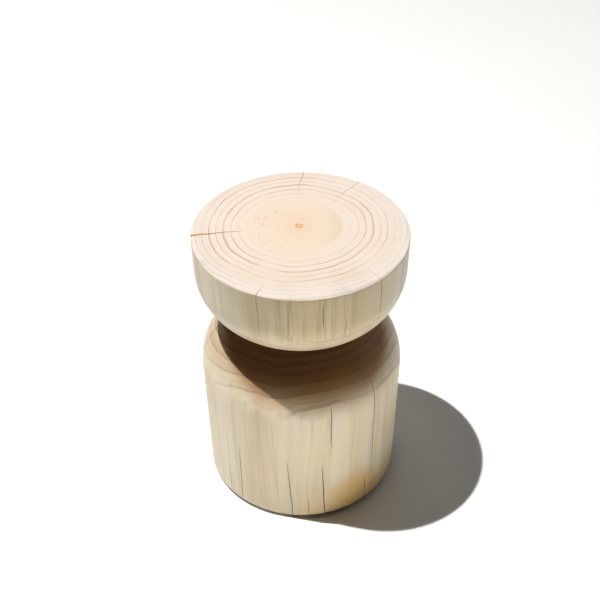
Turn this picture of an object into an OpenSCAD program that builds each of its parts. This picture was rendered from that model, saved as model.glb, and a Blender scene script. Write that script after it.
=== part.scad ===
// Side table turned from one log. The top is a shallow bowl shape under a flat
// face, the base is a cylinder with a round shoulder, and the two curves meet
// in a narrow waist. The log stands on screwed felt glides.
// Origin: centre of the footprint, at floor level. +Z points up, -Y is the front.

/* [Overall] */
// Height from the floor to the top face
total_h = 450; // [380:1:560]
// Diameter of the top face
top_d = 315; // [260:1:380]
// Diameter of the base where its shoulder starts
base_d = 310; // [258:1:374]

/* [Top] */
// Height of the near-straight band under the top face
rim_h = 52; // [40:1:64]
// How much the band's diameter shrinks towards its lower edge
rim_taper = 2; // [0:0.5:6]
// Radius of the bowl's curve in section
bowl_r = 85; // [70:1:102]
// Radius of the eased edge round the top face
rim_ease = 1.5; // [0.5:0.5:4]

/* [Base] */
// Radius of the shoulder's curve in section
shoulder_r = 100; // [82:1:120]
// How much the base's diameter shrinks towards its foot
base_taper = 6; // [0:0.5:12]
// Radius of the eased edge round the foot
foot_ease = 2; // [0.5:0.5:5]

/* [Waist] */
// Radius of the round root of the waist groove
waist_root_r = 5; // [3:0.5:8]

/* [Drying checks] */
// Depth of the log's deepest drying checks, measured from its side
check_depth = 34; // [10:1:60]
// Width of an ordinary drying check at the log's side
check_w = 1.2; // [0.6:0.1:3]
// Width of the widest drying check at the rim
wide_check_w = 3.6; // [1:0.1:6]

/* [Glides] */
// Number of glides under the log
glide_count = 4; // [3:1:6]
// Distance from the foot's edge to a glide's centre
glide_inset = 30; // [20:1:60]
// Gap between the floor and the log, which is a glide's height
glide_h = 5; // [4:0.5:8]
// Diameter of a glide's nylon cup
cup_d = 28; // [24:1:36]
// Thickness of the cup's wall round the felt
cup_wall = 2; // [1:0.5:3]
// Thickness of the cup's plate between the felt and the log
cup_plate = 2.2; // [2:0.1:3]
// Height that the felt stands out of the cup
felt_proud = 1.2; // [0.5:0.1:2]
// Diameter of the hole in the felt that lets a screwdriver in
felt_hole_d = 9; // [8:0.5:12]

/* [Glide screws] */
// Diameter of a screw's shank
shank_d = 3.5; // [3:0.1:4]
// Diameter of a screw's countersunk head
head_d = 7; // [6:0.1:7.5]
// Length of a screw that goes into the log, with its point
screw_reach = 16; // [12:1:30]
// Length of a screw's point
point_h = 4; // [2:0.5:6]
// Width of the head's cross recess
recess_w = 1; // [0.6:0.1:1.4]
// Depth of the head's cross recess
recess_h = 1; // [0.5:0.1:1.2]
// Length of each arm of the cross recess
recess_l = 4.6; // [3:0.1:5]
// Radius of the screw's blunt tip
tip_r = 0.3; // [0.1:0.1:0.8]
// Clearance round a shank in its holes
shank_gap = 0.05; // [0.02:0.01:0.2]

/* [Hidden] */
$fn = 96;
// Length by which a cut runs past the surface that it opens
over = 4;

// Radii of the top face, the band's lower edge, the base and the foot
top_r = top_d / 2;
band_r = top_r - rim_taper / 2;
base_r = base_d / 2;
foot_r = base_r - base_taper / 2;

// The bowl's curve and the shoulder's curve are both level at the waist
waist_z = total_h - rim_h - bowl_r;
band_z = waist_z + bowl_r;
shoulder_z = waist_z - shoulder_r;
bowl_x = band_r - bowl_r;
shoulder_x = base_r - shoulder_r;

// Centre of the waist's root, which touches both curves from outside
bowl_reach = bowl_r + waist_root_r;
shoulder_reach = shoulder_r + waist_root_r;
centre_dx = bowl_x - shoulder_x;
centre_dz = band_z - shoulder_z;
centre_gap = norm([centre_dx, centre_dz]);
along = (centre_gap ^ 2 + shoulder_reach ^ 2 - bowl_reach ^ 2) / (2 * centre_gap);
aside = sqrt(shoulder_reach ^ 2 - along ^ 2);
root_x = shoulder_x + (along * centre_dx + aside * centre_dz) / centre_gap;
root_z = shoulder_z + (along * centre_dz - aside * centre_dx) / centre_gap;

// Where the root touches the shoulder and the bowl
low_touch = [shoulder_x, shoulder_z]
    + [root_x - shoulder_x, root_z - shoulder_z] * shoulder_r / shoulder_reach;
high_touch = [bowl_x, band_z]
    + [root_x - bowl_x, root_z - band_z] * bowl_r / bowl_reach;

// Glide and screw levels
glide_ring_r = foot_r - glide_inset;
felt_d = cup_d - 2 * cup_wall;
felt_h = glide_h - cup_plate;
head_h = (head_d - shank_d) / 2;
// Bearing of the first glide, in degrees from +X
first_glide = 45;

// Drying checks that open on the top face: bearing, share of the full depth
// that they run in, how far they run down the side, and width at the rim.
// Bearings are in degrees from +X, anticlockwise seen from above.
top_checks = [
    [180, 2.35, 60, wide_check_w],
    [90, 1.9, 40, 1.6],
    [56, 2.2, 40, check_w],
    [-45, 1, 78, check_w],
    [-112, 0.9, 84, check_w],
];
// Drying checks in the base: bearing, lower and upper end as shares of the
// base's straight height, and share of the full depth
base_checks = [
    [-45, 0.21, 1.28, 1],
    [-49, 0, 0.26, 0.5],
    [-74, 0.74, 1.12, 0.5],
    [-78, 0, 0.56, 0.9],
    [-97, 0, 0.62, 0.8],
    [-129, 0, 0.62, 0.6],
    [-139, 0, 0.3, 0.4],
    [185, 1.12, 1.34, 1],
    [38, 0, 0.85, 1],
    [92, 0.3, 1.2, 0.9],
    [141, 0, 0.45, 0.6],
];

// The part of a section that lies between the axis and a radius, from z0 to z1
module slab(radius, z0, z1) {
    translate([0, z0]) square([radius, z1 - z0]);
}

// What a round edge of radius r takes off a corner at (x, z); up is 1 or -1
module corner_waste(x, z, r, up) {
    difference() {
        translate([x - r, up > 0 ? z - r : z - over]) square([r + over, r + over]);
        translate([x - r, z - up * r]) circle(r);
    }
}

module top_section() {
    difference() {
        union() {
            polygon([[0, band_z], [band_r, band_z], [top_r, total_h], [0, total_h]]);
            intersection() {
                translate([bowl_x, band_z]) circle(bowl_r);
                slab(band_r, waist_z, band_z);
            }
            slab(bowl_x, waist_z, band_z);
        }
        corner_waste(top_r, total_h, rim_ease, 1);
    }
}

module base_section() {
    difference() {
        union() {
            polygon([[0, glide_h], [foot_r, glide_h], [base_r, shoulder_z], [0, shoulder_z]]);
            intersection() {
                translate([shoulder_x, shoulder_z]) circle(shoulder_r);
                slab(base_r, shoulder_z, waist_z);
            }
            slab(shoulder_x, shoulder_z, waist_z);
        }
        corner_waste(foot_r, glide_h, foot_ease, -1);
    }
}

// Fills the sharp end of the groove and leaves its round root
module waist_section() {
    difference() {
        polygon([[0, low_touch[1]], low_touch, high_touch, [0, high_touch[1]]]);
        translate([root_x, root_z]) circle(waist_root_r);
    }
}

// An upright wedge that is widest at the log's side and closes towards the pith
module check_wedge(bearing, side_r, depth, width, z0, z1) {
    grow = (depth + over) / depth;
    rotate([0, 0, bearing]) translate([side_r, 0, z0]) linear_extrude(z1 - z0)
        polygon([[-depth, 0], [over, -width / 2 * grow], [over, width / 2 * grow]]);
}

module log_body() {
    color([0.93, 0.84, 0.70]) difference() {
        rotate_extrude() union() {
            top_section();
            waist_section();
            base_section();
        }
        for (c = top_checks)
            check_wedge(c[0], top_r, c[1] * check_depth, c[3], total_h - c[2], total_h + over);
        for (c = base_checks)
            check_wedge(c[0], base_r, c[3] * check_depth, check_w,
                c[1] * shoulder_z, c[2] * shoulder_z);
        for (i = [1:glide_count]) at_glide(i) pilot_hole();
    }
}

// Places a glide's pieces, which are drawn about the Z axis
module at_glide(i) {
    bearing = first_glide + (i - 1) * 360 / glide_count;
    rotate([0, 0, bearing]) translate([glide_ring_r, 0, 0]) children();
}

// Countersunk head, straight shank and point, all grown by gap
module screw_form(gap) {
    translate([0, 0, felt_h])
        cylinder(h = head_h, r1 = head_d / 2 + gap, r2 = shank_d / 2 + gap);
    translate([0, 0, felt_h + head_h])
        cylinder(h = glide_h + screw_reach - point_h - felt_h - head_h, r = shank_d / 2 + gap);
}

module screw_point(gap) {
    translate([0, 0, glide_h + screw_reach - point_h])
        cylinder(h = point_h + gap, r1 = shank_d / 2 + gap, r2 = tip_r);
}

module pilot_hole() {
    translate([0, 0, glide_h - over])
        cylinder(h = over + screw_reach - point_h, r = shank_d / 2 + shank_gap);
    screw_point(shank_gap);
}

// Nylon cup: a plate against the log, with a short wall that holds the felt
module glide_cup(i) {
    color([0.24, 0.22, 0.20]) at_glide(i) difference() {
        translate([0, 0, felt_proud]) cylinder(h = glide_h - felt_proud, d = cup_d);
        translate([0, 0, felt_proud - over]) cylinder(h = felt_h - felt_proud + over, d = felt_d);
        screw_form(shank_gap);
    }
}

// Felt ring glued into the cup; the log's weight rests on it
module felt_pad(i) {
    color([0.55, 0.52, 0.48]) at_glide(i) difference() {
        cylinder(h = felt_h, d = felt_d);
        translate([0, 0, -over]) cylinder(h = felt_h + 2 * over, d = felt_hole_d);
    }
}

module glide_screw(i) {
    color([0.75, 0.76, 0.78]) at_glide(i) difference() {
        union() {
            screw_form(0);
            screw_point(0);
        }
        for (turn = [0, 90]) rotate([0, 0, turn])
            translate([-recess_l / 2, -recess_w / 2, felt_h - over])
                cube([recess_l, recess_w, recess_h + over]);
    }
}

log_body();
for (i = [1:glide_count]) {
    glide_cup(i);
    felt_pad(i);
    glide_screw(i);
}
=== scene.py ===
"""Looks of a side table turned from one log: pale softwood with rings, pith, stains and
drying checks, standing on screwed felt glides on a white studio floor."""
import math

import bmesh
import bpy
from mathutils import Matrix, Vector, noise


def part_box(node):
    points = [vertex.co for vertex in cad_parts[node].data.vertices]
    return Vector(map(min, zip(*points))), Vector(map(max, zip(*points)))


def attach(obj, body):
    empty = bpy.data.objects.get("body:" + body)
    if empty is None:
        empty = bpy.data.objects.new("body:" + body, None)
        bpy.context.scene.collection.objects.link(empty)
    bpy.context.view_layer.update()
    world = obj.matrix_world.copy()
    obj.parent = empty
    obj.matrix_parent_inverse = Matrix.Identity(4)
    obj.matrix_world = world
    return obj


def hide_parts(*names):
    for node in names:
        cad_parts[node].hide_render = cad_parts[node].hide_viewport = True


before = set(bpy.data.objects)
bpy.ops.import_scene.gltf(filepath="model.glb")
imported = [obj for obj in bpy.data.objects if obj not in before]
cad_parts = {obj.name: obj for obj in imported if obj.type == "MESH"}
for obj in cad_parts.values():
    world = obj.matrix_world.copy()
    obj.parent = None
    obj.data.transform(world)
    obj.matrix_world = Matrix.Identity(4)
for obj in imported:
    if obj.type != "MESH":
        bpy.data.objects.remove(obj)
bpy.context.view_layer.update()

# --- Sizes, in metres. The log's own box comes from the frame. -------------------------------

LOG_LOW, LOG_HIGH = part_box("log_body")
FOOT_Z = LOG_LOW.z
TOP_Z = LOG_HIGH.z
TOP_R = LOG_HIGH.x

BAND_H = 0.052
BAND_TAPER = 0.001
BOWL_R = 0.085
BASE_R = 0.155
BASE_TAPER = 0.003
SHOULDER_R = 0.100
WAIST_ROOT_R = 0.005
RIM_EASE = 0.0018
FOOT_EASE = 0.0025

BAND_R = TOP_R - BAND_TAPER
BAND_Z = TOP_Z - BAND_H
WAIST_Z = BAND_Z - BOWL_R
SHOULDER_Z = WAIST_Z - SHOULDER_R
FOOT_R = BASE_R - BASE_TAPER
BOWL_CENTRE = Vector((BAND_R - BOWL_R, BAND_Z))
SHOULDER_CENTRE = Vector((BASE_R - SHOULDER_R, SHOULDER_Z))

# Where the heart of the log meets the top face, and how it leans further down
PITH_TOP = Vector((-0.002, 0.013))
PITH_LEAN = Vector((0.012, -0.010))


# --- Camera, lights, sky and floor ----------------------------------------------------------

VIEW_TARGET = Vector((-0.0015, 0.0, 0.3226))
VIEW_ELEVATION = math.radians(39.25)
VIEW_ROLL = math.radians(-0.52)
VIEW_DISTANCE = 1.5856
VIEW_LENS = 63.13

KEY_PLACE = Vector((-1.62, 0.13, 5.87))
KEY_WIDTH = 0.08
KEY_POWER = 455
KEY_COLOUR = (1.0, 0.985, 0.96)
KEY_AIM = Vector((0, 0, 0.25))
# A second lamp brightens only the floor in front, which throws the light back at the table
POOL_PLACE = Vector((0.14, -0.53, 4.0))
POOL_R = 0.22
POOL_STRETCH = 2.4
POOL_POWER = 1920
POOL_BLEND = 0.5
POOL_SOFTNESS = 0.05
# The studio is dark behind the camera and pale behind the table, most of all to the right
SKY_STRENGTH = 0.43
SKY_TO_RIGHT = 0.5
SKY_FADE = (-0.08, 0.9)
# A sheet of white paper, running further back than forward
FLOOR_WIDTH = 3.0
FLOOR_FRONT = -0.95
FLOOR_BACK = 1.9
FLOOR_GAP = 0.0001


def make_camera():
    back = Vector((0, -math.cos(VIEW_ELEVATION), math.sin(VIEW_ELEVATION)))
    data = bpy.data.cameras.new("camera")
    data.lens = VIEW_LENS
    data.sensor_width = 36
    camera = bpy.data.objects.new("camera", data)
    turn = (-back).to_track_quat("-Z", "Y").to_matrix().to_4x4() @ Matrix.Rotation(VIEW_ROLL, 4, "Z")
    camera.matrix_world = Matrix.Translation(VIEW_TARGET + back * VIEW_DISTANCE) @ turn
    bpy.context.collection.objects.link(camera)
    bpy.context.scene.camera = camera


def make_key_light():
    data = bpy.data.lights.new("key", "AREA")
    data.shape = "DISK"
    data.size = KEY_WIDTH
    data.energy = KEY_POWER
    data.color = KEY_COLOUR
    key = bpy.data.objects.new("key", data)
    aim = KEY_AIM - KEY_PLACE
    key.matrix_world = Matrix.Translation(KEY_PLACE) @ aim.to_track_quat("-Z", "Y").to_matrix().to_4x4()
    bpy.context.collection.objects.link(key)


def make_pool_light():
    data = bpy.data.lights.new("pool", "SPOT")
    data.energy = POOL_POWER
    data.spot_size = 2 * math.atan(POOL_R / POOL_PLACE.z)
    data.spot_blend = POOL_BLEND
    data.shadow_soft_size = POOL_SOFTNESS
    pool = bpy.data.objects.new("pool", data)
    pool.location = POOL_PLACE
    pool.scale.x = POOL_STRETCH
    bpy.context.collection.objects.link(pool)


def make_sky():
    """White wherever the camera looks past the paper, and a dim gradient to everything else."""
    world = bpy.data.worlds.new("studio")
    sky = Finish(world, "Background")
    direction = sky.node("ShaderNodeTexCoord", output="Generated")
    right, back = sky.split(direction)[:2]
    behind = (back + right * SKY_TO_RIGHT).rise(*SKY_FADE)
    seen = sky.node("ShaderNodeLightPath", output="Is Camera Ray")
    sky.feed(sky.shader.inputs["Strength"], seen.at_least(behind * SKY_STRENGTH))
    sky.set(Color=(1.0, 1.0, 1.0, 1))
    bpy.context.scene.world = world


def make_floor():
    floor = bmesh.new()
    bmesh.ops.create_grid(floor, x_segments=4, y_segments=4, size=0.5)
    depth = FLOOR_BACK - FLOOR_FRONT
    bmesh.ops.scale(floor, verts=floor.verts, vec=(FLOOR_WIDTH, depth, 1))
    bmesh.ops.translate(floor, verts=floor.verts, vec=(0, FLOOR_FRONT + depth / 2, -FLOOR_GAP))
    add_object("floor", floor, [floor_finish()])


# --- Shader maths ---------------------------------------------------------------------------


def mix(start, end, amount):
    """Start turned towards end by amount, for plain numbers and for Values."""
    return start + (end - start) * amount


class Value:
    """A number that varies over a surface; arithmetic on it adds Math nodes."""

    def __init__(self, finish, socket):
        self.finish = finish
        self.socket = socket

    def _math(self, operation, *values):
        inputs = dict(enumerate(values))
        return self.finish.node("ShaderNodeMath", {"operation": operation}, inputs)

    def __add__(self, other):
        return self._math("ADD", self, other)

    __radd__ = __add__

    def __sub__(self, other):
        return self._math("SUBTRACT", self, other)

    def __rsub__(self, other):
        return self._math("SUBTRACT", other, self)

    def __mul__(self, other):
        return self._math("MULTIPLY", self, other)

    __rmul__ = __mul__

    def __truediv__(self, other):
        return self._math("DIVIDE", self, other)

    def __pow__(self, other):
        return self._math("POWER", self, other)

    def __abs__(self):
        return self._math("ABSOLUTE", self)

    def floor(self):
        return self._math("FLOOR", self)

    def fraction(self):
        return self._math("FRACT", self)

    def at_least(self, other):
        return self._math("MAXIMUM", self, other)

    def rise(self, low, high):
        """0 below low, 1 above high, with a smooth slope between; low may be the larger."""
        settings = {"interpolation_type": "SMOOTHSTEP"}
        inputs = {"Value": self, "From Min": low, "From Max": high}
        return self.finish.node("ShaderNodeMapRange", settings, inputs)


class Finish:
    """The nodes of a material or of the world, with a single way to add one."""

    def __init__(self, owner, shader="Principled BSDF"):
        owner.use_nodes = True
        self.owner = owner
        self.tree = owner.node_tree
        self.shader = self.tree.nodes[shader]

    def node(self, kind, settings=None, inputs=None, output=0):
        """A node of a kind, with its settings made first and then its sockets' values or links."""
        made = self.tree.nodes.new(kind)
        for name, value in (settings or {}).items():
            setattr(made, name, value)
        for name, value in (inputs or {}).items():
            self.feed(made.inputs[name], value)
        return Value(self, made.outputs[output])

    def feed(self, socket, value):
        if isinstance(value, Value):
            self.tree.links.new(value.socket, socket)
        else:
            socket.default_value = value

    def place(self):
        return self.node("ShaderNodeTexCoord", output="Object")

    def stretched(self, vector, amounts):
        return self.node("ShaderNodeVectorMath", {"operation": "MULTIPLY"}, {0: vector, 1: amounts})

    def split(self, vector):
        parts = self.node("ShaderNodeSeparateXYZ", inputs={0: vector})
        outputs = parts.socket.node.outputs
        return [Value(self, outputs[i]) for i in range(3)]

    def joined(self, x, y, z):
        return self.node("ShaderNodeCombineXYZ", inputs={0: x, 1: y, 2: z})

    def noise_along(self, distance):
        """Soft noise along a single number."""
        return self.node("ShaderNodeTexNoise", {"noise_dimensions": "1D"}, {"W": distance, "Detail": 0.0})

    def chance(self, number):
        """A random number from 0 to 1 that belongs to a number."""
        return self.node("ShaderNodeTexWhiteNoise", {"noise_dimensions": "1D"}, {"W": number})

    def bearing(self, x, y):
        """Degrees round the Z axis from +X."""
        return self.node("ShaderNodeMath", {"operation": "ARCTAN2"}, {0: y, 1: x}) * math.degrees(1)

    def noise(self, vector, scale, detail, roughness=0.5):
        inputs = {"Vector": vector, "Scale": scale, "Detail": detail, "Roughness": roughness}
        return self.node("ShaderNodeTexNoise", inputs=inputs)

    def tint(self, amount, base, colour, blend="MIX"):
        """Base blended with colour by amount, from 0 to 1."""
        settings = {"data_type": "RGBA", "blend_type": blend}
        inputs = {0: amount, 6: base, 7: colour}
        return self.node("ShaderNodeMix", settings, inputs, output=2)

    def bump(self, height, distance, strength=1.0):
        inputs = {"Height": height, "Distance": distance, "Strength": strength}
        return self.node("ShaderNodeBump", inputs=inputs, output="Normal")

    def set(self, **constants):
        """Plain values on the shader's own sockets."""
        for name, value in constants.items():
            self.shader.inputs[name.replace("_", " ")].default_value = value


# --- Finishes -------------------------------------------------------------------------------

HEART_CORE = (0.655, 0.508, 0.385, 1)
HEARTWOOD = (0.672, 0.545, 0.438, 1)
SAPWOOD = (0.665, 0.578, 0.505, 1)
RIM_WOOD = (0.655, 0.605, 0.560, 1)
TAN_SAPWOOD = (0.640, 0.525, 0.415, 1)
HEART_SHADE = (0.585, 0.475, 0.355, 1)
LATEWOOD = (0.44, 0.30, 0.21, 1)
WEATHERED = (0.50, 0.48, 0.43, 1)
PALE_SIDE = (0.89, 0.77, 0.56, 1)
KHAKI_SIDE = (0.78, 0.66, 0.42, 1)
ROSE_SIDE = (0.79, 0.70, 0.58, 1)
HONEY_SIDE = (0.84, 0.62, 0.35, 1)
DULL_SIDE = (0.68, 0.50, 0.18, 1)
DUN_SIDE = (0.66, 0.54, 0.38, 1)
# Painted light: paler wood that stands in for the light the floor throws back on the bowl's right side
PAINTED_LIGHT_SIDE = (0.95, 0.88, 0.77, 1)
GREY_STAIN = (0.52, 0.435, 0.30, 1)
BROWN_STAIN = (0.28, 0.185, 0.10, 1)
CUT_GRAIN = (0.56, 0.43, 0.27, 1)
# Painted shadow on the front of the shoulder and painted shade in the crease round the waist
PAINTED_SHOULDER_SHADOW = (0.50, 0.29, 0.12, 1)
PAINTED_CREASE_SHADE = (0.46, 0.24, 0.09, 1)
GRAIN_LINE = (0.30, 0.21, 0.12, 1)
# A golden stain by the foot, deepened as painted shade where the base faces its shadow on the floor
GOLD_STAIN_AND_SHADE = (0.76, 0.49, 0.16, 1)
PITH_EDGE = (0.50, 0.27, 0.09, 1)
PITH_CORE = (0.66, 0.44, 0.20, 1)
SPLIT_LIGHT = (0.95, 0.60, 0.28, 1)
SPLIT_DARK = (0.30, 0.15, 0.06, 1)
NYLON_DARK = (0.040, 0.034, 0.028, 1)
NYLON_LIGHT = (0.062, 0.054, 0.046, 1)
FELT_DARK = (0.30, 0.265, 0.22, 1)
FELT_LIGHT = (0.44, 0.40, 0.34, 1)
FELT_HAIR = (0.60, 0.56, 0.50, 1)
ZINC_BLUE = (0.55, 0.55, 0.57, 1)
ZINC_WARM = (0.68, 0.67, 0.66, 1)
PAPER_DIM = (0.87, 0.87, 0.87, 1)
PAPER_WHITE = (0.89, 0.89, 0.89, 1)

# Rings are counted outwards from the pith as GROWTH * r + SLOWING * r * r - FIRST_RING
GROWTH = 58.8
SLOWING = 156
FIRST_RING = 0.43
# How much the years differ in width, in years, and how many times a metre that changes
UNEVEN_YEARS = 0.3
UNEVEN_SCALE = 48
# How far the rings wander from true circles
BROAD_RIPPLE = 0.013
FINE_RIPPLE = 0.004
# Radius of the ring round the pith
PITH_R = 0.0044
# How much thicker the log grows with height: it stands with its butt end up
LOG_TAPER = 0.008

# Bearings are in degrees from +X, anticlockwise seen from above, so the front is at -90.
# Streaks that run down the front of the top: bearing, half width in degrees, and strength
HONEY_STREAKS = ((-90.4, 1.0, 0.35), (-84.9, 2.6, 0.70), (-71.0, 1.2, 0.30))
BROWN_STREAKS = (
    (-101.0, 1.8, 0.30),
    (-96.2, 2.0, 0.70),
    (-92.1, 0.6, 0.60),
    (-88.3, 1.1, 0.50),
    (-81.4, 1.1, 0.55),
    (-78.3, 0.7, 0.50),
    (-73.6, 1.3, 0.40),
    (-67.7, 0.9, 0.65),
    (-63.0, 1.8, 0.25),
)
# A grey streak below the shoulder
GREY_STREAK = (-74.5, 1.8, 0.35)
# Thin grain lines that lean down the base: bearing at the shoulder and at the foot
LEANING_LINES = (
    (-114.5, -112.0),
    (-111.0, -102.5),
    (-107.5, -103.5),
    (-124.0, -121.0),
    (-84.0, -89.0),
    (-60.0, -61.5),
    (70.0, 63.0),
    (112.0, 106.0),
    (160.0, 166.0),
)
# Weathered patches on the rim of the top face: bearing and half width
WORN_PATCHES = ((-152, 16), (-66, 14), (40, 22))
# Bearings of the broad tones: the dull front of the top, the painted shadow on the shoulder, the khaki and
# honey front of the base, and the golden patch by the foot, a stain that is partly painted shade
DULL_BEARING = -82
SHOULDER_SHADOW_BEARING = -79
KHAKI_BEARING = -94
HONEY_BEARING = -82
GOLD_PATCH_BEARING = -57
GOLD_HEM_BEARING = -38
# Height, half height and half width in degrees of the golden patch by the foot, partly painted shade
GOLD_PATCH_Z = 0.030
GOLD_PATCH_HALF_H = 0.066
GOLD_PATCH_HALF_W = 23


class Grain:
    """Where a point of the log lies: its place, its bearing, its year and how it faces."""

    def __init__(self, wood):
        self.place = wood.place()
        self.x, self.y, self.z = wood.split(self.place)
        below = self.z - TOP_Z
        broad = wood.noise(wood.stretched(self.place, (1, 1, 0.08)), 9.0, 1.0)
        fine = wood.noise(wood.stretched(self.place, (1, 1, 0.07)), 34.0, 2.0)
        ripple = (broad - 0.5) * BROAD_RIPPLE + (fine - 0.5) * FINE_RIPPLE
        from_x = self.x - (below * PITH_LEAN.x + PITH_TOP.x)
        from_y = self.y - (below * PITH_LEAN.y + PITH_TOP.y)
        self.from_pith = (from_x * from_x + from_y * from_y) ** 0.5
        safe = self.from_pith.at_least(0.001)
        self.out_x = from_x / safe
        self.out_y = from_y / safe
        self.radius = self.from_pith + ripple * (self.from_pith * 12).rise(0.0, 1.0) - below * LOG_TAPER
        seasons = wood.noise_along(self.radius * UNEVEN_SCALE) * UNEVEN_YEARS
        count = self.radius * GROWTH + self.radius * self.radius * SLOWING + seasons - FIRST_RING
        self.year = count.floor()
        self.phase = count.fraction()
        self.bearing = wood.bearing(self.x, self.y)
        self.reach = (self.x * self.x + self.y * self.y) ** 0.5
        facing = wood.node("ShaderNodeTexCoord", output="Normal")
        self.slope = abs(wood.split(facing)[2])
        # End grain shows on the top face and under the foot, not on the level parts of the waist
        at_end = self.z.rise(TOP_Z - 0.010, TOP_Z - 0.004) + self.z.rise(FOOT_Z + 0.006, FOOT_Z + 0.003)
        self.end = self.slope.rise(0.55, 0.95) * at_end
        self.slanted = self.slope.rise(0.20, 0.75) * (1 - self.end)
        self.upright = (1 - self.slope.rise(0.10, 0.55)) * (1 - self.end)
        self.thread = wood.noise(wood.stretched(self.place, (1, 1, 0.02)), 620.0, 2.0)
        self.wander = (wood.noise(wood.stretched(self.place, (1, 1, 0.3)), 60.0, 2.0) - 0.5) * 1.6
        self.broken = wood.noise(wood.stretched(self.place, (1, 1, 0.05)), 300.0, 3.0)

    def away(self, bearing):
        """Degrees to either side of a bearing."""
        return abs(self.bearing - bearing)

    def streak(self, bearing, half_width, strength):
        """A wandering line that runs up the log."""
        aside = abs(self.bearing + self.wander - bearing)
        return aside.rise(half_width * 1.6, half_width * 0.3) * strength


def streaks(wood, grain, scale, stretch, shift=0.0):
    """Soft streaks that run up the log."""
    moved = wood.node("ShaderNodeVectorMath", {"operation": "ADD"}, {0: grain.place, 1: (shift, shift, 0)})
    return wood.noise(wood.stretched(moved, (1, 1, stretch)), scale, 2.0)


def end_colour(wood, grain):
    """End grain: peach heart, paler sapwood, a whitish rim and grey weathering at the edge."""
    cloud = wood.noise(grain.place, 24.0, 2.0)
    heart_r = grain.from_pith + (cloud - 0.5) * 0.022
    sharp_side = grain.out_x.rise(0.1, 0.8)
    sharp = (grain.from_pith + (cloud - 0.5) * 0.004).rise(0.060, 0.065)
    soft = heart_r.rise(0.050, 0.115)
    outside = mix(soft, sharp, sharp_side * 0.6)
    heart = wood.tint(heart_r.rise(0.010, 0.048), HEART_CORE, HEARTWOOD)
    colour = wood.tint(outside, heart, SAPWOOD)
    shade = heart_r.rise(0.040, 0.058) * (1 - sharp) * grain.out_x.rise(0.55, 0.95)
    colour = wood.tint(shade * 0.50, colour, HEART_SHADE)
    tan = grain.out_y.rise(-0.1, -0.9) * grain.from_pith.rise(0.085, 0.125) * cloud.rise(0.35, 0.6)
    colour = wood.tint(tan * 0.6, colour, TAN_SAPWOOD)
    rim = (grain.from_pith + (cloud - 0.5) * 0.020).rise(0.138, 0.162)
    colour = wood.tint(rim * 0.7, colour, RIM_WOOD)
    patches = wood.noise(grain.place, 38.0, 3.0)
    worn = patches.rise(0.53, 0.66) * 0.25
    for bearing, half_width in WORN_PATCHES:
        nearby = grain.away(bearing).rise(half_width, half_width * 0.2)
        worn = worn.at_least(patches.rise(0.38, 0.60) * nearby * 0.55)
    return wood.tint(worn * rim, colour, WEATHERED)


def side_colour(wood, grain):
    """Long grain on the sides, and the turned slopes where the rings are cut across."""
    tone = streaks(wood, grain, 15.0, 0.05)
    colour = wood.tint(tone.rise(0.35, 0.65), PALE_SIDE, KHAKI_SIDE)
    cast = (grain.out_x * -1).rise(0.1, 0.9) * 0.55
    colour = wood.tint(cast, colour, ROSE_SIDE)
    colour = wood.tint(streaks(wood, grain, 32.0, 0.030, 11.0).rise(0.48, 0.66) * 0.45, colour, DUN_SIDE)
    # Painted light: the right side of the bowl is painted paler, standing in for light thrown back from
    # the floor
    painted_light_right = grain.out_x.rise(0.55, 0.95) * grain.z.rise(WAIST_Z, BAND_Z) * 0.5
    colour = wood.tint(painted_light_right, colour, PAINTED_LIGHT_SIDE)
    colour = wood.tint(streaks(wood, grain, 46.0, 0.035, 3.1).rise(0.50, 0.68) * 0.42, colour, ROSE_SIDE)
    colour = wood.tint(streaks(wood, grain, 60.0, 0.030, 7.7).rise(0.55, 0.72) * 0.34, colour, HONEY_SIDE)
    colour = wood.tint(streaks(wood, grain, 84.0, 0.045, 5.3).rise(0.57, 0.74) * 0.38, colour, GREY_STAIN)
    colour = wood.tint(grain.slanted, colour, CUT_GRAIN)
    return colour


def ring_lines(wood, grain, colour):
    """Each year's growth darkens slowly and ends in a thin dark line; some years have two."""
    strength = wood.chance(grain.year)
    extra = wood.chance(grain.year + 40.5)
    line = grain.phase.rise(0.80, 0.90) * grain.phase.rise(0.99, 0.95)
    shade = grain.phase.rise(0.20, 0.95) * grain.phase.rise(1.0, 0.95)
    thin = abs(grain.phase - (extra * 0.45 + 0.15)).rise(0.10, 0.02) * extra.rise(0.35, 0.6)
    patchy = wood.noise(wood.stretched(grain.place, (1, 1, 0.5)), 13.0, 2.0).rise(0.30, 0.65)
    outer = grain.radius.rise(0.056, 0.112)
    depth = (outer + 0.06) * (patchy * 0.75 + 0.25) * (strength * 0.55 + 0.60)
    level = depth * (1 - grain.upright * 0.72)
    low_slope = grain.slanted * grain.z.rise(WAIST_Z + 0.03, WAIST_Z)
    colour = wood.tint(shade * level * (low_slope * 0.75 + 0.16), colour, LATEWOOD)
    colour = wood.tint((line + thin * 0.45) * level * 0.85, colour, LATEWOOD)
    return wood.tint(line * low_slope * 0.26, colour, GRAIN_LINE)


def paint_waist_shade(wood, grain, colour):
    """Painted shade: the front of the shoulder is darkened where the bowl's shadow falls, and the crease
    round the waist, on the shoulder and under the bowl, is darkened all round.
    """
    root = grain.reach.rise(0.126, 0.104)
    # Painted shadow: the bowl's shadow on the front of the shoulder, reaching wider near the waist
    front = (grain.away(SHOULDER_SHADOW_BEARING) + (grain.reach - 0.140) * 1500).rise(66, 38)
    shoulder = grain.z.rise(SHOULDER_Z, SHOULDER_Z + 0.066) * (0.90 - root * 0.2)
    shoulder = shoulder * grain.z.rise(WAIST_Z + 0.03, WAIST_Z + 0.01)
    colour = wood.tint(front * shoulder, colour, PAINTED_SHOULDER_SHADOW, "MULTIPLY")
    # Painted shade in the crease round the waist, on the shoulder and under the bowl
    crease_shade = root * abs(grain.z - WAIST_Z).rise(0.095, 0.075)
    return wood.tint(crease_shade * (1 - front * 0.85), colour, PAINTED_CREASE_SHADE, "MULTIPLY")


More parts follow.
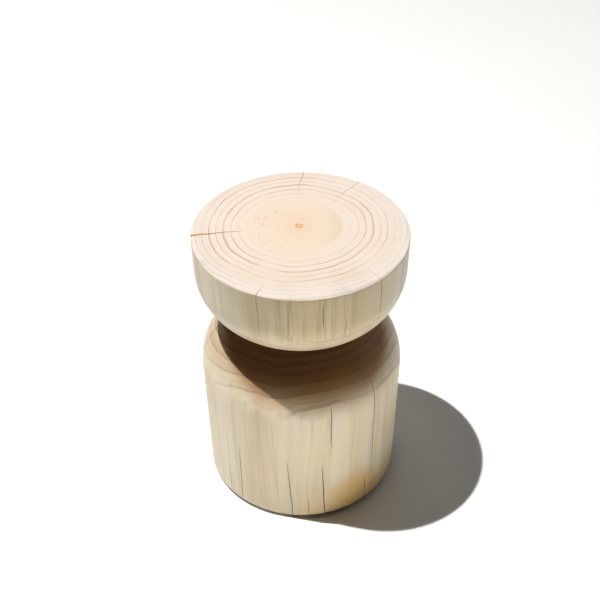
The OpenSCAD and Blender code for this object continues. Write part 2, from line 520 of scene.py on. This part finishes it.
def flecks(wood, grain, colour):
    """Short dark dashes of resin along the inner rings, most of them to one side, and faint rays."""
    fleck_place = wood.joined(grain.out_x * 5, grain.out_y * 5, grain.radius * 520)
    spots = wood.noise(fleck_place, 1.0, 1.0).rise(0.655, 0.71)
    left = grain.out_x.rise(0.1, -0.5) * 0.75 + 0.12
    inner = grain.radius.rise(0.078, 0.070) * grain.radius.rise(0.020, 0.050)
    colour = wood.tint(spots * inner * left * grain.end, colour, LATEWOOD)
    ray_place = wood.joined(grain.out_x * 150, grain.out_y * 150, grain.from_pith * 9)
    rays = wood.noise(ray_place, 1.0, 2.0)
    return wood.tint(grain.end * rays.rise(0.55, 0.8) * 0.06, colour, LATEWOOD)


def top_stains(wood, grain, colour):
    """Honey and brown streaks down the front of the top, in a duller field."""
    high = (grain.z + (grain.broken - 0.5) * 0.16).rise(TOP_Z - 0.105, TOP_Z - 0.060) * grain.upright
    for streak in HONEY_STREAKS:
        colour = wood.tint(grain.streak(*streak) * high, colour, HONEY_SIDE)
    for streak in BROWN_STREAKS:
        mask = grain.streak(*streak) * high * grain.broken.rise(0.38, 0.58)
        colour = wood.tint(mask, colour, BROWN_STAIN)
    around = grain.away(DULL_BEARING).rise(60, 15) * grain.z.rise(TOP_Z - 0.11, TOP_Z - 0.06)
    return wood.tint(around * grain.upright * 0.42, colour, DULL_SIDE)


def base_lines(wood, grain, colour):
    """A grey streak below the shoulder, and thin lines that fade out as they near the foot."""
    grey = grain.streak(*GREY_STREAK) * grain.z.rise(0.11, 0.15) * grain.z.rise(0.235, 0.215)
    colour = wood.tint(grey, colour, GREY_STAIN)
    drop = (SHOULDER_Z - grain.z) / (SHOULDER_Z - FOOT_Z)
    faint = grain.upright * (drop + (grain.broken - 0.5) * 0.8).rise(1.0, 0.75) * drop.rise(-0.08, 0.08)
    for start, end in LEANING_LINES:
        line = abs(grain.bearing + grain.wander - start - drop * (end - start)).rise(0.55, 0.12)
        colour = wood.tint(line * faint * 0.42, colour, GREY_STAIN)
    return colour


def base_stains(wood, grain, colour):
    """Khaki and honey tones on the front of the base, and a golden stain by the foot that is partly
    painted shade where the base faces its shadow on the floor.
    """
    front = abs(grain.bearing - KHAKI_BEARING + grain.wander * 3).rise(34, 8)
    front = front * grain.z.rise(SHOULDER_Z + 0.02, SHOULDER_Z - 0.03)
    colour = wood.tint(front * 0.38, colour, KHAKI_SIDE)
    near_side = grain.reach.rise(0.120, 0.146)
    low = grain.z.rise(0.085, 0.02) * near_side
    warm = abs(grain.bearing - HONEY_BEARING + grain.wander * 5).rise(17, 4)
    colour = wood.tint(low * warm * 0.80, colour, HONEY_SIDE)
    # A golden stain by the foot, partly painted shade where the base faces its shadow on the floor
    across = abs(grain.bearing - GOLD_PATCH_BEARING + grain.wander * 3) / GOLD_PATCH_HALF_W
    up = abs(grain.z - GOLD_PATCH_Z) / GOLD_PATCH_HALF_H
    stain_and_shade_patch = (across * across + up * up).rise(1.0, 0.10)
    colour = wood.tint(stain_and_shade_patch * near_side * 0.72, colour, GOLD_STAIN_AND_SHADE)
    # The same stain and painted shade along the foot's right-hand edge
    stain_and_shade_hem = grain.away(GOLD_HEM_BEARING).rise(50, 15) * (grain.z + grain.wander * 0.004).rise(0.085, 0.005)
    return wood.tint(stain_and_shade_hem * near_side * 0.55, colour, GOLD_STAIN_AND_SHADE)


def pith(wood, grain, colour):
    """A small golden ring with a lighter core."""
    wobble = wood.noise(grain.place, 260.0, 1.0) * 0.0016 - 0.0008
    r = grain.from_pith + wobble
    colour = wood.tint(r.rise(0.0050, 0.0030) * 0.8, colour, PITH_CORE)
    return wood.tint(abs(r - PITH_R).rise(0.0019, 0.0006) * 0.85, colour, PITH_EDGE)


def wood_finish():
    wood = Finish(bpy.data.materials.new("log_wood"))
    grain = Grain(wood)
    colour = wood.tint(grain.end, side_colour(wood, grain), end_colour(wood, grain))
    colour = ring_lines(wood, grain, colour)
    colour = paint_waist_shade(wood, grain, colour)
    colour = flecks(wood, grain, colour)
    colour = top_stains(wood, grain, colour)
    colour = base_lines(wood, grain, colour)
    colour = base_stains(wood, grain, colour)
    colour = pith(wood, grain, colour)
    colour = wood.tint(grain.thread.rise(0.52, 0.75) * 0.10, colour, GRAIN_LINE)
    wood.feed(wood.shader.inputs["Base Color"], colour)
    wood.feed(wood.shader.inputs["Roughness"], grain.thread * 0.16 + 0.34)
    wood.feed(wood.shader.inputs["Normal"], wood.bump(grain.thread, 0.00018, 0.5))
    wood.set(Specular_IOR_Level=0.32)
    return wood.owner


def split_finish():
    """Raw wood inside the drying checks: more orange, with torn fibres, and darkened below the top face as
    painted shade in the narrow slots.
    """
    raw = Finish(bpy.data.materials.new("split_wood"))
    place = raw.place()
    fibre = raw.noise(raw.stretched(place, (1, 1, 0.03)), 700.0, 3.0)
    # Painted shade: the checks darken with depth below the top face
    painted_depth_shade = raw.split(place)[2].rise(TOP_Z - 0.004, TOP_Z - 0.016)
    fibre_and_depth_shade = fibre.rise(0.3, 0.7) * 0.4 + painted_depth_shade * 0.6
    colour = raw.tint(fibre_and_depth_shade, SPLIT_LIGHT, SPLIT_DARK)
    raw.feed(raw.shader.inputs["Base Color"], colour)
    raw.feed(raw.shader.inputs["Normal"], raw.bump(fibre, 0.0006))
    raw.set(Roughness=0.85, Specular_IOR_Level=0.2)
    return raw.owner


def nylon_finish():
    nylon = Finish(bpy.data.materials.new("nylon"))
    grain = nylon.noise(nylon.place(), 1400.0, 2.0)
    colour = nylon.tint(grain, NYLON_DARK, NYLON_LIGHT)
    nylon.feed(nylon.shader.inputs["Base Color"], colour)
    nylon.feed(nylon.shader.inputs["Normal"], nylon.bump(grain, 0.00006))
    nylon.set(Roughness=0.48)
    return nylon.owner


def felt_finish():
    felt = Finish(bpy.data.materials.new("felt"))
    place = felt.place()
    clumps = felt.noise(place, 700.0, 3.0, 0.6)
    hairs = felt.noise(felt.stretched(place, (1, 3, 1)), 1900.0, 4.0, 0.7)
    colour = felt.tint(clumps.rise(0.3, 0.7), FELT_DARK, FELT_LIGHT)
    colour = felt.tint(hairs.rise(0.5, 0.8) * 0.6, colour, FELT_HAIR)
    felt.feed(felt.shader.inputs["Base Color"], colour)
    felt.feed(felt.shader.inputs["Normal"], felt.bump(clumps + hairs, 0.0003))
    felt.set(Roughness=0.95, Sheen_Weight=0.5, Sheen_Roughness=0.5)
    return felt.owner


def screw_finish():
    steel = Finish(bpy.data.materials.new("screw_steel"))
    place = steel.place()
    mottling = steel.noise(place, 500.0, 3.0)
    colour = steel.tint(mottling, ZINC_BLUE, ZINC_WARM)
    steel.feed(steel.shader.inputs["Base Color"], colour)
    steel.feed(steel.shader.inputs["Roughness"], mottling * 0.25 + 0.22)
    steel.set(Metallic=1.0)
    return steel.owner


def floor_finish():
    paper = Finish(bpy.data.materials.new("studio_floor"))
    tone = paper.noise(paper.place(), 3.0, 2.0)
    colour = paper.tint(tone, PAPER_DIM, PAPER_WHITE)
    paper.feed(paper.shader.inputs["Base Color"], colour)
    paper.set(Roughness=0.9, Specular_IOR_Level=0.1)
    return paper.owner


# --- The log --------------------------------------------------------------------------------

# Steps round the log, and along the parts of its section
ROUND_STEPS = 288
FOOT_STEPS = 14
EDGE_STEPS = 5
SIDE_STEPS = 48
CURVE_STEPS = 34
ROOT_STEPS = 12
BAND_STEPS = 14
TOP_STEPS = 26
# How far the sanded surface wavers from a true circle, and how many times a metre
WAVER = 0.0004
WAVER_SCALE = 14
# Edges that turn more than this stay sharp
SHARP_ANGLE = math.radians(38)

# Checks that open on the top face and run over the rim: bearing in degrees from +X at the
# inner tip, at the rim and at the lower tip, then how far in from the rim, how far down the
# side, width and depth at the rim
TOP_CHECKS = (
    (178.9, 183.4, 184.5, 0.081, 0.055, 0.0050, 0.0056),
    (92.4, 87.6, 88.5, 0.065, 0.045, 0.0015, 0.0024),
    (56.8, 54.8, 53.5, 0.075, 0.038, 0.0013, 0.0020),
    (-44.5, -46.3, -44.7, 0.036, 0.080, 0.0012, 0.0032),
    (-112.2, -112.5, -111.0, 0.031, 0.086, 0.0012, 0.0032),
)
# Checks in the side: bearing at the upper and the lower tip, the two tips' heights, width, depth.
# One whose lower tip is below the foot opens on the foot.
SIDE_CHECKS = (
    (-79.1, -79.0, 0.446, 0.396, 0.0010, 0.008),
    (-45.6, -44.6, 0.280, 0.040, 0.0015, 0.012),
    (-50.2, -48.4, 0.060, -0.010, 0.0012, 0.010),
    (-74.1, -73.6, 0.246, 0.152, 0.0013, 0.010),
    (-78.9, -76.2, 0.126, -0.030, 0.0015, 0.012),
    (-98.9, -95.1, 0.138, -0.030, 0.0013, 0.012),
    (-129.3, -129.0, 0.138, -0.020, 0.0012, 0.010),
    (-139.2, -138.2, 0.074, -0.010, 0.0012, 0.009),
    (-87.1, -86.0, 0.052, -0.010, 0.0009, 0.008),
    (-115.6, -114.6, 0.060, 0.012, 0.0007, 0.005),
    (184.8, 188.2, 0.292, 0.238, 0.0013, 0.009),
    (36.8, 35.2, 0.186, -0.020, 0.0014, 0.012),
    (90.1, 91.9, 0.262, 0.062, 0.0013, 0.012),
    (142.6, 141.4, 0.098, -0.010, 0.0012, 0.010),
    (7.6, 8.4, 0.120, 0.030, 0.0009, 0.008),
    (160.7, 159.3, 0.230, 0.110, 0.0010, 0.009),
    (122.0, 122.8, 0.402, 0.352, 0.0010, 0.006),
    (24.0, 23.2, 0.430, 0.380, 0.0009, 0.006),
)
# Distance between the stations of a check, and how far its blade stands out of the wood
CHECK_STEP = 0.0033
CHECK_PROUD = 0.0015
# Share of a check's run, counted from its tip, in which it opens in full, and how much faster
# a side check opens, which has a tip at each end
OPEN_AT = 0.6
SIDE_OPENING = 2.2
# A check's blade is never shallower or thinner than this
LEAST_DEPTH = 0.0003
LEAST_HALF_WIDTH = 0.00002
# How far a check sways from its line, and how ragged its edges are
SWAY = 0.0011
JAG = 0.0004
# Radius of a screw's pilot hole, and how far the hole runs past the screw's point
PILOT_R = 0.0019
PILOT_ROOM = 0.001


def arc(centre, radius, start, end, steps):
    """Points along an arc in the section's plane; angles are in degrees."""
    angles = [math.radians(start + (end - start) * i / steps) for i in range(steps + 1)]
    return [centre + Vector((math.cos(a), math.sin(a))) * radius for a in angles]


def straight(start, end, steps):
    """Points along a line, without its two ends."""
    return [start.lerp(end, i / steps) for i in range(1, steps)]


def waist_root():
    """Centre of the waist's round root, which touches the shoulder and the bowl."""
    low_reach = SHOULDER_R + WAIST_ROOT_R
    high_reach = BOWL_R + WAIST_ROOT_R
    span = BOWL_CENTRE - SHOULDER_CENTRE
    gap = span.length
    along = (gap ** 2 + low_reach ** 2 - high_reach ** 2) / (2 * gap)
    aside = math.sqrt(low_reach ** 2 - along ** 2)
    return SHOULDER_CENTRE + (span * along + Vector((span.y, -span.x)) * aside) / gap


def bearing_of(vector):
    return math.degrees(math.atan2(vector.y, vector.x))


def log_section():
    """Half of the log's outline, from the middle of its foot to the middle of its top."""
    root = waist_root()
    low_end = bearing_of(root - SHOULDER_CENTRE)
    high_start = bearing_of(root - BOWL_CENTRE)
    foot_in = Vector((0, FOOT_Z))
    top_in = Vector((0, TOP_Z))
    foot = arc(Vector((FOOT_R - FOOT_EASE, FOOT_Z + FOOT_EASE)), FOOT_EASE, -90, 0, EDGE_STEPS)
    shoulder = arc(SHOULDER_CENTRE, SHOULDER_R, 0, low_end, CURVE_STEPS)
    groove = arc(root, WAIST_ROOT_R, low_end + 180, high_start + 180, ROOT_STEPS)
    bowl = arc(BOWL_CENTRE, BOWL_R, high_start, 0, CURVE_STEPS)
    rim = arc(Vector((TOP_R - RIM_EASE, TOP_Z - RIM_EASE)), RIM_EASE, 0, 90, EDGE_STEPS)
    return [
        foot_in, *straight(foot_in, foot[0], FOOT_STEPS), *foot,
        *straight(foot[-1], shoulder[0], SIDE_STEPS), *shoulder, *groove[1:], *bowl[1:],
        *straight(bowl[-1], rim[0], BAND_STEPS), *rim,
        *straight(rim[-1], top_in, TOP_STEPS), top_in,
    ]


def side_radius(z):
    """The log's radius at a height."""
    if z < SHOULDER_Z:
        return FOOT_R + (BASE_R - FOOT_R) * max(z - FOOT_Z, 0) / (SHOULDER_Z - FOOT_Z)
    if z < WAIST_Z:
        return SHOULDER_CENTRE.x + math.sqrt(SHOULDER_R ** 2 - (z - SHOULDER_Z) ** 2)
    if z < BAND_Z:
        return BOWL_CENTRE.x + math.sqrt(BOWL_R ** 2 - (BAND_Z - z) ** 2)
    return BAND_R + (TOP_R - BAND_R) * (z - BAND_Z) / BAND_H


def turned_log():
    """The section spun about the Z axis, with the slight waver of a hand-sanded surface."""
    log = bmesh.new()
    points = [log.verts.new((p.x, 0, p.y)) for p in log_section()]
    edges = [log.edges.new(pair) for pair in zip(points, points[1:])]
    bmesh.ops.spin(
        log, geom=points + edges, cent=(0, 0, 0), axis=(0, 0, 1), dvec=(0, 0, 0),
        angle=math.tau, steps=ROUND_STEPS, use_merge=True, use_duplicate=False,
    )
    bmesh.ops.remove_doubles(log, verts=log.verts, dist=1e-6)
    bmesh.ops.recalc_face_normals(log, faces=log.faces)
    for vert in log.verts:
        waver = noise.noise(vert.co * WAVER_SCALE) * 0.5 + 0.5
        shrink = 1 - WAVER * waver / TOP_R
        vert.co.x *= shrink
        vert.co.y *= shrink
    return log


class CheckStation:
    """One place along a check: its mouth on the surface, its floor, and its bearing and width."""

    def __init__(self, bearing, mouth, lip, floor, width):
        self.bearing = bearing
        self.mouth = mouth
        self.lip = lip
        self.floor = floor
        self.width = width


def opening(along, sharpness=0.6):
    """How far a check has opened at a share of its run: 0 at its tip, 1 in full."""
    return min(max(along, 0.0) / OPEN_AT, 1.0) ** sharpness


def side_station(bearing, z, depth, width):
    r = side_radius(z)
    lip = Vector((r + CHECK_PROUD, z))
    floor = Vector((r - max(depth, LEAST_DEPTH), z))
    return CheckStation(bearing, Vector((r, z)), lip, floor, width)


def top_check_stations(tip, rim, lower, run, drop, width, depth):
    """From the inner tip across the top face, over the rim and down the side."""
    stations = []
    across_steps = max(6, round(run / CHECK_STEP))
    for i in range(across_steps + 1):
        along = i / across_steps
        sink = max(depth * opening(along * OPEN_AT), LEAST_DEPTH)
        mouth = Vector((TOP_R - run * (1 - along), TOP_Z))
        floor = Vector((mouth.x - sink * along, TOP_Z - sink))
        lip = mouth + Vector((CHECK_PROUD * (along == 1), CHECK_PROUD))
        stations.append(CheckStation(mix(tip, rim, along), mouth, lip, floor, width * along ** 0.8))
    down_steps = max(6, round(drop / CHECK_STEP))
    for i in range(1, down_steps + 1):
        along = i / down_steps
        z = mix(TOP_Z - depth, TOP_Z - drop, (i - 1) / (down_steps - 1))
        open_by = opening(1 - along, 0.7)
        stations.append(side_station(mix(rim, lower, along), z, depth * open_by, width * 0.8 * open_by))
    return stations


def side_check_stations(upper, lower, high, low, width, depth):
    """Down the side from the upper tip to the lower one."""
    steps = max(8, round((high - low) / CHECK_STEP))
    stations = []
    for i in range(steps + 1):
        along = i / steps
        open_by = opening(min(along, 1 - along) * SIDE_OPENING)
        z = mix(high, low, along)
        stations.append(side_station(mix(upper, lower, along), z, depth * open_by, width * open_by))
    return stations


def check_blade(stations, seed):
    """A ragged wedge of air that follows the surface through a check's stations."""
    blade = bmesh.new()
    bmesh.ops.create_cube(blade, size=1)
    for axis, cuts in ((0, len(stations) - 2), (2, 2)):
        edges = [e for e in blade.edges if abs((e.verts[0].co - e.verts[1].co)[axis]) > 0.5]
        bmesh.ops.subdivide_edges(blade, edges=edges, cuts=cuts, use_grid_fill=True)
    for vert in blade.verts:
        station = stations[round((vert.co.x + 0.5) * (len(stations) - 1))]
        height = vert.co.z + 0.5
        side = 1 if vert.co.y > 0 else -1
        place = station.floor.lerp(station.lip, height)
        spread = max(station.width / 2 * height ** 0.8, LEAST_HALF_WIDTH)
        r, z = station.mouth
        sway = noise.noise(Vector((seed, r * 55, z * 32))) * SWAY
        jag = noise.noise(Vector((seed + 9, r * 300, z * 170))) * JAG
        angle = math.radians(station.bearing)
        out = Vector((math.cos(angle), math.sin(angle), 0))
        across = Vector((-out.y, out.x, 0))
        vert.co = out * place.x + across * (sway + jag + side * spread) + Vector((0, 0, place.y))
    return blade


def pilot_hole(centre):
    """The hole under a glide that its screw goes into."""
    screw_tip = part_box("glide_screw_1")[1]
    hole = bmesh.new()
    bmesh.ops.create_cone(
        hole, cap_ends=True, segments=24, radius1=PILOT_R, radius2=PILOT_R,
        depth=2 * (screw_tip.z - FOOT_Z + PILOT_ROOM),
        matrix=Matrix.Translation((centre.x, centre.y, FOOT_Z)),
    )
    return hole


def add_object(name, mesh_builder, materials):
    """Turns a finished bmesh into an object at the origin."""
    mesh = bpy.data.meshes.new(name)
    mesh_builder.to_mesh(mesh)
    mesh_builder.free()
    for material in materials:
        mesh.materials.append(material)
    made = bpy.data.objects.new(name, mesh)
    bpy.context.collection.objects.link(made)
    return made


def all_cuts():
    """Every check and pilot hole, as one mesh of separate closed blades."""
    top = [top_check_stations(*check) for check in TOP_CHECKS]
    side = [side_check_stations(*check) for check in SIDE_CHECKS]
    blades = [check_blade(stations, seed * 7.3) for seed, stations in enumerate(top + side)]
    holes = [pilot_hole(sum(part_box(name), Vector()) / 2)
             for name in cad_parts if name.startswith("glide_screw")]
    cuts = bmesh.new()
    scrap = bpy.data.meshes.new("scrap")
    for piece in blades + holes:
        piece.to_mesh(scrap)
        piece.free()
        cuts.from_mesh(scrap)
    bpy.data.meshes.remove(scrap)
    return cuts


def make_log():
    """The turned log with its checks and pilot holes cut, which stands in for the plain one."""
    wood = wood_finish()
    raw = split_finish()
    log = add_object("log", turned_log(), [wood, raw])
    cutter = add_object("cutter", all_cuts(), [raw])
    cut = log.modifiers.new("checks", "BOOLEAN")
    cut.operation = "DIFFERENCE"
    cut.solver = "MANIFOLD"
    cut.object = cutter
    finished = log.evaluated_get(bpy.context.evaluated_depsgraph_get())
    mesh = bpy.data.meshes.new_from_object(finished)
    log.modifiers.clear()
    rough = log.data
    log.data = mesh
    bpy.data.meshes.remove(rough)
    bpy.data.objects.remove(cutter)
    mesh.shade_smooth()
    mesh.set_sharp_from_angle(angle=SHARP_ANGLE)
    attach(log, "root")
    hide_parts("log_body")


# --- Glides ---------------------------------------------------------------------------------


def finish_glides():
    """Gives the glides' own solids their nylon, felt and steel."""
    finishes = {
        "glide_cup": nylon_finish(),
        "felt_pad": felt_finish(),
        "glide_screw": screw_finish(),
    }
    for name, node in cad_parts.items():
        for kind, material in finishes.items():
            if name.startswith(kind):
                node.data.materials.clear()
                node.data.materials.append(material)


make_camera()
make_key_light()
make_pool_light()
make_sky()
make_floor()
make_log()
finish_glides()
bpy.context.scene.view_settings.view_transform = "Standard"
